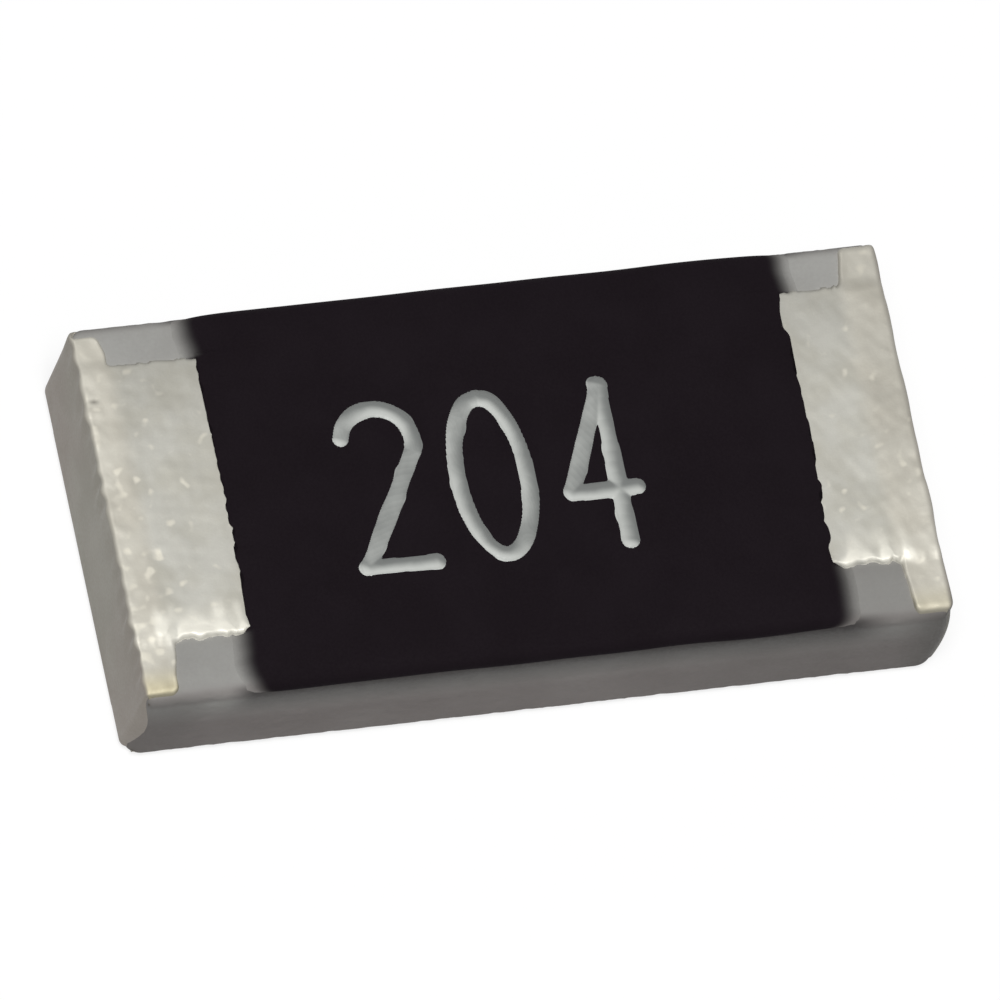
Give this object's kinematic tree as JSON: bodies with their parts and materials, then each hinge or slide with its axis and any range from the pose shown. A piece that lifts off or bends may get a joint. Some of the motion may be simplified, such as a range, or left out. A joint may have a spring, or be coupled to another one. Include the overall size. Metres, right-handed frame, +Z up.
{
  "type": "chip resistor",
  "caption": "Surface-mount thick film chip resistor: a ceramic chip with a trimmed film under a black overcoat and plated solder ends that wrap round both ends.",
  "frame": {"origin": "middle of the chip's footprint, on the plane that the lower solder lands rest on", "axes": "+X along the chip towards its right end, +Y across it towards the back, +Z up through the coated face"},
  "size_m": [0.0032, 0.0016, 0.0006],
  "materials": {
    "alumina": "matte",
    "fired_silver": "matte",
    "resistive_film": "satin",
    "fired_glass": "gloss",
    "black_overcoat": "matte",
    "edge_metal": "matte",
    "nickel": "satin",
    "matte_tin": "matte"
  },
  "bodies": {
    "root": {"ceramic_substrate": "alumina", "top_electrode_left": "fired_silver", "top_electrode_right": "fired_silver", "bottom_electrode_left": "fired_silver", "bottom_electrode_right": "fired_silver", "resistor_film": "resistive_film", "glass_coat": "fired_glass", "overcoat": "black_overcoat", "edge_electrode_left": "edge_metal", "edge_electrode_right": "edge_metal", "nickel_barrier_left": "nickel", "nickel_barrier_right": "nickel", "tin_plating_left": "matte_tin", "tin_plating_right": "matte_tin"}
  },
  "joints": []
}
